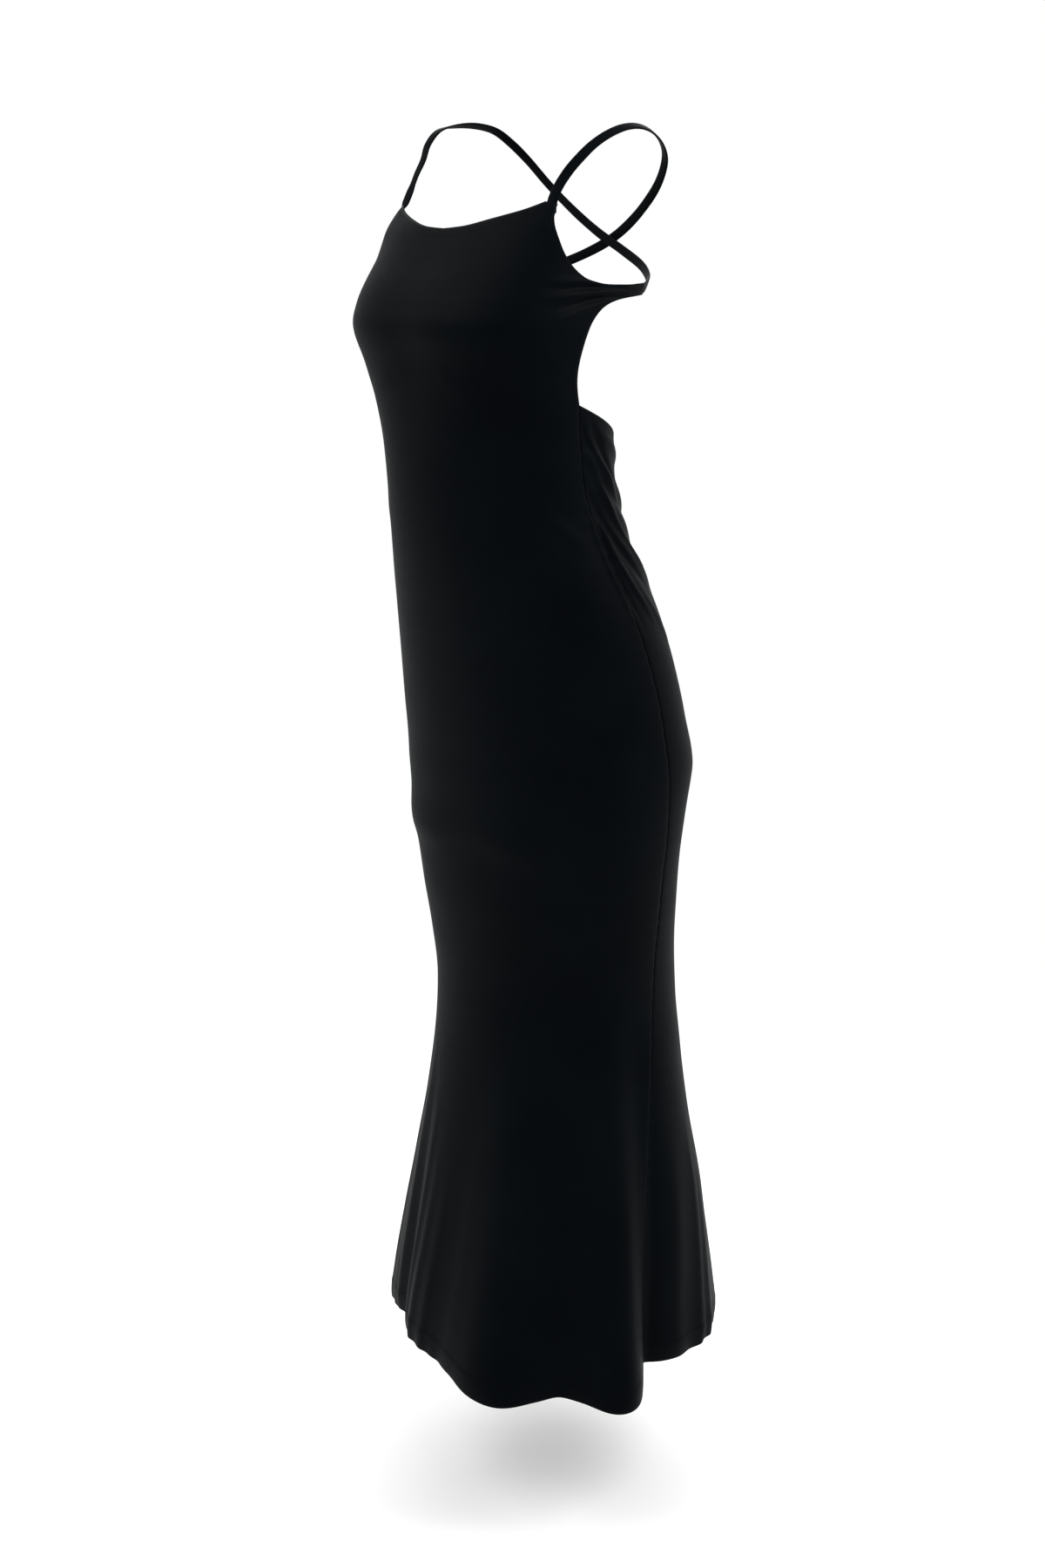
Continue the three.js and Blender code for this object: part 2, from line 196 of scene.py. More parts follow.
# Fine creases, each a soft ridge or trough between two places on the cloth, highest
# midway. One whose end lies below the hem is still near its highest there
CREASES = table(
    "angle z to_angle to_z out width",
    # pulls that run into the wings from the armhole and the open back
    (112, -150, 66, -146, 2.2, 2.0),
    (112, -153, 69, -152, -2.2, 2.0),
    (111, -155, 68, -161, 2.6, 2.2),
    (108, -157, 72, -171, -2.0, 2.3),
    (104, -159, 74, -184, 1.9, 2.6),
    (-112, -150, -68, -147, 2.0, 2.1),
    (-111, -154, -72, -157, -2.1, 2.2),
    (-109, -156, -70, -168, 2.4, 2.3),
    (-104, -159, -75, -187, 1.5, 2.8),
    # the right strap's seat stands a little off the chest
    (-68, -45, -64, -125, 5.0, 14.0),
    # drag lines under the bust
    (22, -232, 50, -258, 0.7, 7.0),
    (-20, -236, -52, -264, 0.8, 7.0),
    (60, -222, 86, -250, 0.8, 5.0),
    (-62, -226, -84, -250, 0.8, 6.0),
    # pulls from the waist to the hip
    (62, -330, 87, -402, 1.1, 5.0),
    (54, -318, 80, -372, -0.7, 6.0),
    (40, -372, 82, -452, 0.7, 8.0),
    (-42, -356, -86, -420, 1.0, 8.0),
    (-60, -330, -88, -372, 0.8, 6.0),
    # folds that fall from the side seams into the draped back
    (91, -272, 98, -309, -1.7, 2.2),
    (92, -280, 117, -362, 2.9, 2.2),
    (95, -272, 122, -356, -2.9, 2.4),
    (94, -308, 122, -428, 3.5, 3.0),
    (91.5, -338, 115, -442, -3.4, 2.8),
    (95.5, -370, 107.5, -476, 2.8, 2.4),
    (91.5, -344, 95.5, -480, 1.6, 2.2),
    (94.6, -365, 98.5, -478, -2.2, 1.8),
    (104, -420, 120, -500, 1.9, 4.8),
    (-91, -274, -99, -302, -1.3, 2.4),
    (-93, -292, -124, -366, 2.6, 3.0),
    (-100, -312, -119, -371, -1.9, 3.6),
    (-93.5, -332, -98, -458, 2.7, 3.1),
    (-96, -368, -109, -462, -2.8, 3.5),
    (-99, -360, -119, -444, 3.2, 3.8),
    # creases under the seat and across the thigh
    (118, -626, 162, -634, 1.2, 6.0),
    (-120, -630, -160, -622, 1.2, 6.5),
    (-62, -704, -14, -700, 1.0, 7.0),
    (20, -702, 58, -708, 0.7, 8.0),
    # narrow folds down the front of the skirt
    (-38, -930, -36, -1500, 2.6, 4.2),
    (-31, -960, -29, -1540, -2.4, 3.6),
    (-24, -985, -18, -1490, 2.6, 4.0),
    (-15, -1040, -11, -1480, 1.8, 4.2),
    (-5, -1060, -1, -1500, 1.5, 5.0),
    (-47, -980, -48, -1520, -2.0, 4.6),
    (14, -1010, 17, -1500, 1.2, 7.0),
    (52, -980, 53, -1480, -2.2, 8.0),
    # and down its sides and back
    (90, -930, 87, -1480, -1.6, 3.6),
    (99, -1000, 100, -1500, 4.0, 8.0),
    (113, -1000, 114, -1490, 2.4, 3.6),
    (120, -1060, 121, -1480, 1.9, 3.0),
    (128, -1090, 127, -1520, -1.8, 4.5),
    (140, -1050, 141, -1480, 1.6, 6.0),
    (172, -980, 176, -1500, -2.4, 8.0),
    (-168, -960, -172, -1480, 2.2, 6.5),
    (-158, -1060, -160, -1500, -1.8, 4.5),
    (-136, -1010, -137, -1490, -2.0, 5.0),
    (-127, -1080, -128, -1500, 1.9, 3.8),
    (-108, -1000, -107, -1520, 2.0, 4.2),
    (-84, -930, -82, -1480, -1.8, 4.0),
    (-62, -1020, -63, -1500, 2.1, 4.4),
)
CREASE_FADE = 0.8
CREASE_BEND = 3.0

# Small waves that the sewing draws into the side seams and the hem. They drift along
# their way, so that none repeats
PUCKER = {"out": 0.35, "wave": 17.0, "reach": 9.0, "drift": 2.3, "drift_wave": 61.0}
HEM_WAVE = {
    "out": 0.6, "wave": 31.0, "reach": 14.0, "mm_per_degree": 2.9, "drift": 1.7,
    "drift_turn": 9.0,
}
HEM_CURL = {"out": -2.4, "height": 18.0}
HEM_RIDGE = {"out": 0.35, "height": 19.0, "width": 1.6}

# The seams' edges roll in. In the flare the front panel's edge stands out over the back
# panel's as a fold instead, less at the right seam
SEAM_ROLL = {"out": -0.5, "reach": 2.2, "below_waist": 12.0}
SEAM_STEP = {
    "out": 2.2, "turn": 2.4, "reach": 9.0, "start": -880.0, "full": -1040.0,
    "right_share": 0.55,
}

# How deep a turning is, how far in it is stitched and in how many rows
EDGE_SEWING = {"depth": 9.0, "stitched": 7.0, "rows": 1}
HEM_SEWING = {"depth": 22.0, "stitched": 17.0, "rows": 2}
ROW_PITCH = 3.0

# Free edges, with the side on which the cloth lies as each is walked
EDGES = {
    kind: {"panel": panel, "cloth": cloth, **sewing}
    for kind, panel, cloth, sewing in (
        ("neckline", "front_panel", -1, EDGE_SEWING),
        ("armhole_left", "front_panel", -1, EDGE_SEWING),
        ("armhole_right", "front_panel", 1, EDGE_SEWING),
        ("open_left", "front_panel", 1, EDGE_SEWING),
        ("open_right", "front_panel", -1, EDGE_SEWING),
        ("back_top", "back_panel", -1, EDGE_SEWING),
        ("front_hem", "front_panel", 1, HEM_SEWING),
        ("back_hem", "back_panel", 1, HEM_SEWING),
    )
}
EDGE_TAPER = {"least": 0.45, "reach": 30.0}

# A turning is rolled through these angles and lies flat at these shares of its depth
TURNING = {"stations": 200, "clearance": 0.05, "thinner": 0.1, "aim": 2.0}
TURNING_ROLL = range(90, -91, -30)
TURNING_ROWS = (0.12, 0.3, 0.5, 0.7, 0.85, 1.0)

# A seam allowance's rows behind the seam. Those by the seam lie deeper inside
ALLOWANCE = {
    "top": WAIST - 2, "bottom": HEM + 3, "stations": 240, "thickness": 0.9,
    "by_seam": 3.0, "deep": 1.2, "shallow": 0.6,
}
ALLOWANCE_ROWS = (-1.5, 0.0, 2.0, 4.0, 6.5, 9.0)

# The knit's V stitches: how steep, and how high beside the columns' ridges, with the
# height of the fibres over both
KNIT = {"slant": 1.2, "stitch": 0.35, "fibre": 0.8}

THREAD = {"radius": 0.13, "lift": 0.03, "sides": 6}
TACKS = {"rows": (2.0, 6.0), "reach": 4.0, "points": 12, "tip_share": 0.9}

# Centre line of a shoulder strap as (x, y, z, forward, up), for the wearer's left, and
# how much further forward and up the right one lies
STRAP_PATH = (
    (114, -91, -60, 2, 3), (114.5, -82, -44, 7, 2), (115.5, -71, -31, 8, 4),
    (116.5, -56, -19, 14, 7), (118, -38, -9, 16, 11), (119, -18, -2.4, 11, 10),
    (119, 2, -0.9, 4, 9), (118, 20, -4.5, 0, 8), (114, 37, -14, 0, 6),
    (105, 51, -28, 0, 4), (84, 62, -51, 0, 2), (52, 68, -76, 0, 1),
    (16, 70, -97, 0, 0), (-24, 68, -115, 0, 0), (-64, 58, -130, 0, 0),
    (-98, 37, -142, 0, 0), (-119, 15, -149, 0, 0),
)
CROSSING_LIFT = 4.0
CROSSING_REACH = 30.0

# How far each strap's first stations are eased across the photograph's view, along the
# level line STRAP_WAY in x and y
STRAP_WAY = (0.643, 0.766)
STRAP_EASE = {
    "left": (-1.2, 1.8, 4.0, 4.2, 4.0, 3.2, 1.5),
    "right": (0, 3.0, 2.6, 0.8),
}

# How the right strap turns about its own length as it rises, by distance from its end
STRAP_TWIST = table(
    "along degrees",
    (0, 0), (9, 6), (16, 34), (29, 40), (36, 32), (60, 33), (88, 38), (106, 32),
    (126, 10), (150, 0), (600, 0),
)

# A strap faces away from this line through the wearer, except near its sewn-in ends,
# where it turns to lie on the panel
FIGURE_AXIS = {"x_share": 0.4, "y": -30.0, "z": -115.0}
STRAP_END = {"sewn": 9.0, "turn": 40.0, "thicker": 0.15, "thick_at": 14.0, "thick_reach": 6.0}
STRAP_GRID = {"rows": 200, "columns": 24, "curve_steps": 24}
STRAP_ROUNDING = {"wide": 0.55, "deep": 0.7}
STRAP_WAVES = ((0.012, 23.0), (0.01, 7.7))

# The stage, in metres. First the photograph's frame and where it was taken from
PHOTO = {
    "sensor": 36.0,
    "lens": 55.4,
    "azimuth": 50.0,
    "aim_left": 0.745,
    "pitch": 12.3,
    "distance": 2.46,
    "height": -0.123,
}
FLOOR = {"below_hem": 0.17, "radius": 9.0, "sides": 96, "pale_to": 0.5, "white_from": 2.2}

# Soft lights round the dress: azimuth as the camera's, elevation, distance, size and power
SOFT_LIGHTS = {
    "soft_left": (-25, 42, 2.4, 1.6, 30),
    "soft_right": (125, 42, 2.4, 1.6, 42),
    "soft_behind": (230, 35, 2.6, 1.8, 20),
}


def cubic(t, start, end, leaving, arriving):
    """From start to end as t goes from 0 to 1, with the given slopes at the ends."""
    bend = 3 * (end - start) - 2 * leaving - arriving
    return start + leaving * t + bend * t**2 + (leaving + arriving - 2 * (end - start)) * t**3


def read(rows, key, z):
    """Column key at a place in the first column, smoothly and never past the rows."""
    heights, values = next(iter(rows.values())), rows[key]
    slopes = np.diff(values) / np.diff(heights)
    tangents = np.concatenate((slopes[:1], np.zeros(len(slopes) - 1), slopes[-1:]))
    before, after = slopes[:-1], slopes[1:]
    same = before * after > 0
    tangents[1:-1][same] = 2 * before[same] * after[same] / (before[same] + after[same])
    z = np.asarray(z, dtype=float)
    i = np.clip(np.searchsorted(heights, z, side="right") - 1, 0, len(heights) - 2)
    span = heights[i + 1] - heights[i]
    t = np.clip((z - heights[i]) / span, 0, 1)
    return cubic(t, values[i], values[i + 1], span * tangents[i], span * tangents[i + 1])


def each(rows):
    """The rows of a table one by one, as plain dictionaries."""
    names = list(rows)
    for values in zip(*(rows[name] for name in names)):
        yield dict(zip(names, values))


def smooth_step(t):
    t = np.clip(t, 0, 1)
    return t * t * (3 - 2 * t)


def bump(distance, width):
    return np.exp(-0.5 * (distance / width) ** 2)


def crowd(share, amount):
    """Moves shares from 0 to 1 towards both ends, where the cloth has its folds."""
    return share - amount * np.sin(2 * math.pi * share) / (2 * math.pi)


def turn(angle, start=0.0):
    """Shortest way round from start to angle, in degrees."""
    return (np.asarray(angle, dtype=float) - start + 180) % 360 - 180


def unit(vectors):
    return vectors / np.linalg.norm(vectors, axis=-1, keepdims=True)


def lengths_along(points):
    """Distance of each point of a line from its first, measured along the line."""
    return np.concatenate(([0], np.cumsum(np.linalg.norm(np.diff(points, axis=0), axis=1))))


def places_along(points, along, s):
    """Points of a line at distances s from its first."""
    return np.stack([np.interp(s, along, column) for column in points.T], axis=-1)


def softened(key, z):
    """A section's size averaged over a short height, so that no row shows as a band."""
    z = np.asarray(z, dtype=float)
    beside = read(SECTIONS, key, z - BLEND) + read(SECTIONS, key, z + BLEND)
    return beside / 4 + read(SECTIONS, key, z) / 2


def section_radius(angle, z):
    across = np.abs(np.sin(np.radians(angle))) / softened("half", z)
    along = np.cos(np.radians(angle))
    depth = np.where(along > 0, softened("front", z), softened("back", z))
    square = softened("square", z)
    return (across**square + (np.abs(along) / depth) ** square) ** (-1 / square)


def dip_share(angle, z):
    seam = read(SEAM, "angle", z)
    t = np.clip((np.abs(turn(angle)) - seam) / (180 - seam), 0, 1)
    return np.sin(t * math.pi / 2)


def drape_relief(angle, z):
    out = 0.0
    for drape in each(DRAPES):
        share = dip_share(angle, drape["seam"])
        line = drape["seam"] - read(BACK_DIP, "drop", drape["seam"]) * share
        growth = np.minimum(1, DRAPE_GROWTH * share)
        out = out + drape["out"] * growth * bump(z - line, drape["width"])
    return out


def flute_relief(angle, z):
    out = 0.0
    for flute in each(FLUTES):
        growth = np.maximum(0, (flute["start"] - z) / (flute["start"] - HEM)) ** FLUTE_POWER
        out = out + flute["out"] * growth * bump(turn(angle, flute["angle"]), flute["width"])
    return out


def form_relief(angle, z):
    out = 0.0
    for form in each(FORMS):
        around = bump(turn(angle, form["angle"]), form["width"])
        out = out + form["out"] * around * bump(z - form["z"], form["height"])
    return out


def crease_relief(angle, z):
    out = 0.0
    for crease in each(CREASES):
        run = turn(crease["to_angle"], crease["angle"]) * MM_PER_DEGREE
        rise = crease["to_z"] - crease["z"]
        length = math.hypot(run, rise)
        x = turn(angle, crease["angle"]) * MM_PER_DEGREE
        y = z - crease["z"]
        t = (x * run + y * rise) / length**2
        away = (x * rise - y * run) / length
        arch = np.sin(math.pi * np.clip(t, 0, 1))
        shape = bump(away - CREASE_BEND * arch, crease["width"])
        out = out + crease["out"] * arch**CREASE_FADE * shape
    return out


def radius_at(angle, z):
    radius = section_radius(angle, z) + flute_relief(angle, z)
    radius = radius + form_relief(angle, z) + drape_relief(angle, z)
    return radius + crease_relief(angle, z)


def face(angle, z, lift=0.0):
    """Points of the cloth's outer face in metres, as rows of x, y and z."""
    angle, z = np.broadcast_arrays(np.asarray(angle, float), np.asarray(z, float))
    radius = radius_at(angle, z) + lift
    turned = np.radians(angle)
    middle = read(SECTIONS, "middle", z)
    points = (radius * np.sin(turned), middle - radius * np.cos(turned), z)
    return np.stack(points, axis=-1) * MM


def face_normal(angle, z):
    degrees, height = NORMAL_STEP
    around = face(angle + degrees, z) - face(angle - degrees, z)
    up = face(angle, z + height) - face(angle, z - height)
    return unit(np.cross(around, up))


def hem_drop(angle):
    drops = (f["drop"] * bump(turn(angle, f["angle"]), f["width"]) for f in each(FLUTES))
    return sum(drops)


def skirt_height(angle, z):
    return z - hem_drop(angle) * smooth_step((FLARE_TOP - z) / (FLARE_TOP - HEM))


def seam_mm_per_degree(z):
    """How much cloth one degree takes at the side seams."""
    return read(SECTIONS, "half", z) * math.pi / 180


def seam_inset(z):
    return SEAM_GAP / 2 / seam_mm_per_degree(z)


def back_drop(angle, seam_z):
    """How far the back's cloth hangs below the height that it has at the side seams."""
    return read(BACK_DIP, "drop", seam_z) * dip_share(angle, seam_z)


class EdgeCurve:
    """A smooth curve through (angle, z) rows, read by its share of the whole length."""

    def __init__(self, rows):
        points = np.array(rows, dtype=float) * (MM_PER_DEGREE, 1)
        count = len(points)
        t = np.linspace(0, count - 1, CURVE_STEPS * (count - 1) + 1)
        i = np.minimum(t.astype(int), count - 2)
        a, b = points[np.maximum(i - 1, 0)], points[i]
        c, d = points[i + 1], points[np.minimum(i + 2, count - 1)]
        self.points = cubic((t - i)[:, None], b, c, (c - a) / 2, (d - b) / 2)
        self.along = lengths_along(self.points)

    def at(self, share):
        return places_along(self.points, self.along, np.asarray(share, float) * self.along[-1])


NECK_CURVE, ARM_CURVE, BACK_CURVE = (EdgeCurve(e) for e in (NECKLINE, ARMHOLE, OPEN_BACK))

# Where a strap is sewn in, as (angle, z): at the top of the chest and at the wing's tip
SEAT = np.mean([NECK_CURVE.at(1), ARM_CURVE.at(0)], axis=0) / (MM_PER_DEGREE, 1)
WING_TIP = np.mean([BACK_CURVE.at(1), ARM_CURVE.at(1)], axis=0) / (MM_PER_DEGREE, 1)


def top_edge(share):
    """Top edge of the bodice by column share, from centre front to the wing tip."""
    column = np.asarray(share, float) * HALF_COLUMNS
    neck = NECK_CURVE.at(np.clip(column / NECK_COLUMNS, 0, 1))
    arm_columns = HALF_COLUMNS - NECK_COLUMNS - 1
    arm = ARM_CURVE.at(np.clip((column - NECK_COLUMNS - 1) / arm_columns, 0, 1))
    seat = np.clip(column - NECK_COLUMNS, 0, 1)[..., None]
    return np.where(seat < 1, neck * (1 - seat) + ARM_CURVE.at(0) * seat, arm)


def side_edge(share):
    """Open edge of the bodice by row share, from the waist to the top of the wing tip."""
    row = np.asarray(share, float) * BODICE_ROWS
    back = BACK_CURVE.at(np.clip(row / (BODICE_ROWS - 1), 0, 1))
    tip = np.clip(row - (BODICE_ROWS - 1), 0, 1)[..., None]
    return back * (1 - tip) + ARM_CURVE.at(1) * tip


def bodice(s, t):
    """Angle and height inside the bodice's four edges, s and t from 0 to 1."""
    s, t = (np.asarray(v, float)[..., None] for v in (s, t))
    waist = np.array((OPEN_BACK[0][0] * MM_PER_DEGREE, 0))
    low = s * waist + (0, WAIST)
    centre = t * (0, NECKLINE[0][1] - WAIST) + (0, WAIST)
    top, side = top_edge(s[..., 0]), side_edge(t[..., 0])
    corners = (
        (1 - s) * (1 - t) * np.array((0, WAIST))
        + s * (1 - t) * (waist + (0, WAIST))
        + (1 - s) * t * np.array((0, NECKLINE[0][1]))
        + s * t * ARM_CURVE.at(1)
    )
    point = (1 - t) * low + t * top + (1 - s) * centre + s * side - corners
    return point[..., 0] / MM_PER_DEGREE, point[..., 1]


def front_places(column, row, bodice_share):
    """Angle and height of the front panel, column from -1 to 1 and row from hem to top."""
    above = row > 1 - bodice_share
    t = np.clip((row - (1 - bodice_share)) / bodice_share, 0, 1)
    high_angle, high_z = bodice(np.abs(column), t)
    seam_z = HEM + (WAIST - HEM) * crowd(np.clip(row / (1 - bodice_share), 0, 1), ROW_CROWDING)
    drawn = COLUMN_CROWDING * smooth_step((1 - bodice_share - row) / CROWDING_START)
    share = 2 * crowd((np.abs(column) + 1) / 2, drawn) - 1
    low_angle = share * (read(SEAM, "angle", seam_z) - seam_inset(seam_z))
    angle = np.sign(column) * np.where(above, high_angle, low_angle)
    z = np.where(above, high_z, skirt_height(angle, seam_z))
    return angle, z, seam_z


def back_places(column, row):
    """Angle and height of the back panel, column from 0 to 1 and row from hem to top."""
    seam_z = HEM + (WAIST - HEM) * crowd(row, ROW_CROWDING)
    start = read(SEAM, "angle", seam_z) + seam_inset(seam_z)
    angle = start + crowd(column, COLUMN_CROWDING) * (360 - 2 * start)
    return angle, skirt_height(angle, seam_z) - back_drop(angle, seam_z), seam_z


def seam_relief(angle, z, seam_z):
    """The roll, fold and pucker along the side seams."""
    behind = (np.abs(turn(angle)) - read(SEAM, "angle", seam_z)) * seam_mm_per_degree(seam_z)
    gap = np.abs(behind)
    roll = SEAM_ROLL["out"] * np.exp(-gap / SEAM_ROLL["reach"])
    flared = smooth_step((SEAM_STEP["start"] - z) / (SEAM_STEP["start"] - SEAM_STEP["full"]))
    flared = flared * np.where(turn(angle) > 0, 1.0, SEAM_STEP["right_share"])
    step = np.tanh(behind / SEAM_STEP["turn"]) * np.exp(-gap / SEAM_STEP["reach"])
    roll = roll * (1 - flared) - SEAM_STEP["out"] * flared * step
    drift = PUCKER["drift"] * np.sin(z / PUCKER["drift_wave"])
    wave = np.sin(z / PUCKER["wave"] * 2 * math.pi + drift)
    pucker = PUCKER["out"] * wave * np.exp(-gap / PUCKER["reach"])
    return smooth_step((WAIST - z) / SEAM_ROLL["below_waist"]) * (roll + pucker)


def hem_relief(angle, height):
    """The waves, curl and stitched ridge near the hem, by the height above it."""
    round_hem = angle * HEM_WAVE["mm_per_degree"] / HEM_WAVE["wave"] * 2 * math.pi
    wave = np.sin(round_hem + HEM_WAVE["drift"] * np.sin(angle / HEM_WAVE["drift_turn"]))
    relief = HEM_WAVE["out"] * wave * np.exp(-height / HEM_WAVE["reach"])
    relief = relief + HEM_CURL["out"] * np.clip(1 - height / HEM_CURL["height"], 0, 1) ** 2
    return relief + HEM_RIDGE["out"] * bump(height - HEM_RIDGE["height"], HEM_RIDGE["width"])


def sewing_relief(angle, z, seam_z):
    """How far the sewing lifts the cloth at the side seams and the hem."""
    return seam_relief(angle, z, seam_z) + hem_relief(angle, np.abs(seam_z - HEM))


def settings():
    return bpy.context.scene.dress_settings


def new_object(name, bm, material):
    mesh = bpy.data.meshes.new(name)
    bm.to_mesh(mesh)
    bm.free()
    for polygon in mesh.polygons:
        polygon.use_smooth = True
    mesh.materials.append(material)
    piece = bpy.data.objects.new(name, mesh)
    bpy.context.scene.collection.objects.link(piece)
    return piece


def mapped_grid(columns, rows, place):
    """A grid whose vertices place() puts on the cloth, and each vertex's column and row."""
    bm = bmesh.new()
    bmesh.ops.create_grid(bm, x_segments=columns, y_segments=rows, size=1.0)
    bm.verts.ensure_lookup_table()
    flat = np.array([v.co[:2] for v in bm.verts])
    i = np.rint((flat[:, 0] + 1) / 2 * columns).astype(int)
    j = np.rint((flat[:, 1] + 1) / 2 * rows).astype(int)
    points = place(i / columns, j / rows)
    for vertex, point in zip(bm.verts, points):
        vertex.co = point
    return bm, i, j, points


def lay_weave(bm, i, j, points, columns, rows, middle):
    """Writes the cloth's own map: distance round from the middle column, and height."""
    net = np.zeros((rows + 1, columns + 1, 3))
    net[j, i] = points
    steps = np.linalg.norm(np.diff(net, axis=1), axis=2)
    along = np.concatenate((np.zeros((rows + 1, 1)), np.cumsum(steps, axis=1)), axis=1)
    along -= along[:, middle : middle + 1]
    layer = bm.loops.layers.uv.new("cloth")
    u, v = along[j, i], points[:, 2]
    for polygon in bm.faces:
        for loop in polygon.loops:
            k = loop.vert.index
            loop[layer].uv = (u[k], v[k])


def write_distance(bm, name, distance):
    """Stores a distance in millimetres on each vertex, for the stitching's groove."""
    layer = bm.verts.layers.float.new(name)
    for vertex, value in zip(bm.verts, distance):
        vertex[layer] = float(value)


def nearest(points, edge):
    """Distance in millimetres from each point to the nearest of an edge's points."""
    best = np.full(len(points), np.inf)
    for part in np.array_split(edge, max(1, len(edge) // EDGE_CHUNK)):
        gaps = np.linalg.norm(points[:, None, :] - part[None, :, :], axis=2)
        best = np.minimum(best, gaps.min(axis=1))
    return best / MM


def edge_line(kind, count=EDGE_POINTS):
    """Angles and heights along one of the dress's free edges."""
    share = np.linspace(0, 1, count)
    both = np.concatenate((-share[::-1], share[1:]))
    if kind == "back_top":
        return back_places(share, np.ones(count))[:2]
    if kind == "back_hem":
        return back_places(share, np.zeros(count))[:2]
    if kind == "front_hem":
        # the bodice's share of the rows changes nothing down here
        return front_places(both, np.zeros(len(both)), bodice_share=0.2)[:2]
    if kind == "neckline":
        points, side = NECK_CURVE.at(np.abs(both)), np.sign(both)
    else:
        curve = ARM_CURVE if kind.startswith("armhole") else BACK_CURVE
        points, side = curve.at(share), 1 if kind.endswith("left") else -1
    return side * points[:, 0] / MM_PER_DEGREE, points[:, 1]


def edge_taper(kind, angle, z):
    """How much of its turning an edge keeps, less near the ends of the bodice's edges."""
    if kind.endswith("hem") or kind == "back_top":
        return np.ones(len(angle))
    along = lengths_along(face(angle, z) / MM)
    to_end = np.minimum(along, along[-1] - along)
    least = EDGE_TAPER["least"]
    return np.minimum(1, least + (1 - least) * to_end / EDGE_TAPER["reach"])


def inward_places(kind, distance, count):
    """Angles and heights of an edge moved into its panel by a distance in millimetres."""
    angle, z = edge_line(kind, count)
    per_degree = radius_at(angle, z) * math.pi / 180
    run = np.gradient(angle) * per_degree
    rise = np.gradient(z)
    side = EDGES[kind]["cloth"] * distance * edge_taper(kind, angle, z) / np.hypot(run, rise)
    return angle - side * rise / per_degree, z + side * run


def edge_lift(kind, angle, z):
    """The sewing's relief near an edge, as the panel itself has it there."""
    if kind.endswith("hem"):
        return sewing_relief(angle, z, z + hem_drop(angle))
    if kind == "back_top":
        return sewing_relief(angle, z, np.minimum(WAIST, z + back_drop(angle, WAIST)))
    return np.zeros(len(angle))


def inward_cloth(kind, distance, count=EDGE_POINTS):
    """Points and outward normals of the panel's face along an edge moved inwards."""
    angle, z = inward_places(kind, distance, count)
    return face(angle, z, lift=edge_lift(kind, angle, z)), face_normal(angle, z)


class Nodes:
    """Adds shader nodes to a material one after another."""

    def __init__(self, name):
        self.material = bpy.data.materials.new(name)
        self.material.use_nodes = True
        self.tree = self.material.node_tree
        self.tree.nodes.clear()

    def add(self, kind, sockets=None, **values):
        """A node with its own values set and its sockets filled or linked."""
        node = self.tree.nodes.new(kind)
        for key, value in values.items():
            setattr(node, key, value)
        for key, value in (sockets or {}).items():
            if isinstance(value, bpy.types.NodeSocket):
                self.tree.links.new(value, node.inputs[key])
            else:
                node.inputs[key].default_value = value
        return node

    def math(self, operation, *terms):
        sockets = dict(enumerate(terms))
        return self.add("ShaderNodeMath", sockets, operation=operation).outputs[0]

    def noise(self, vector, scale, detail=2.0, roughness=0.5):
        sockets = {"Vector": vector, "Scale": scale, "Detail": detail, "Roughness": roughness}
        return self.add("ShaderNodeTexNoise", sockets).outputs["Fac"]

    def ramp(self, value, low, high, start, end, **values):
        sockets = dict(enumerate((value, low, high, start, end)))
        return self.add("ShaderNodeMapRange", sockets, **values).outputs[0]

    def finish(self, shader):
        self.add("ShaderNodeOutputMaterial", {"Surface": shader.outputs[0]})
        return self.material


def knit_height(nodes, wale, course):
    """Height of the knit face: columns of small V stitches on the cloth's own map."""
    uv = nodes.add("ShaderNodeUVMap", uv_map="cloth")
    split = nodes.add("ShaderNodeSeparateXYZ", {0: uv.outputs[0]})
    across = nodes.math("DIVIDE", split.outputs[0], wale)
    column = nodes.math("PINGPONG", across, 0.5)
    down = nodes.math("DIVIDE", split.outputs[1], course)
    slanted = nodes.math("ADD", down, nodes.math("MULTIPLY", column, KNIT["slant"]))
    stitch = nodes.math("SINE", nodes.math("MULTIPLY", slanted, 2 * math.pi))
    ridge = nodes.math("SINE", nodes.math("MULTIPLY", column, 2 * math.pi))
    return nodes.math("MULTIPLY_ADD", stitch, KNIT["stitch"], ridge)


def groove(nodes, name, places, half_width):
    """Grooves where the distance stored under a name meets each of the places."""
    gap = nodes.add("ShaderNodeAttribute", attribute_name=name).outputs["Fac"]
    depth = 0.0
    for place in places:
        away = nodes.math("ABSOLUTE", nodes.math("SUBTRACT", gap, place))
        depth = nodes.math("ADD", depth, nodes.ramp(away, 0.0, half_width, 1.0, 0.0))
    return depth


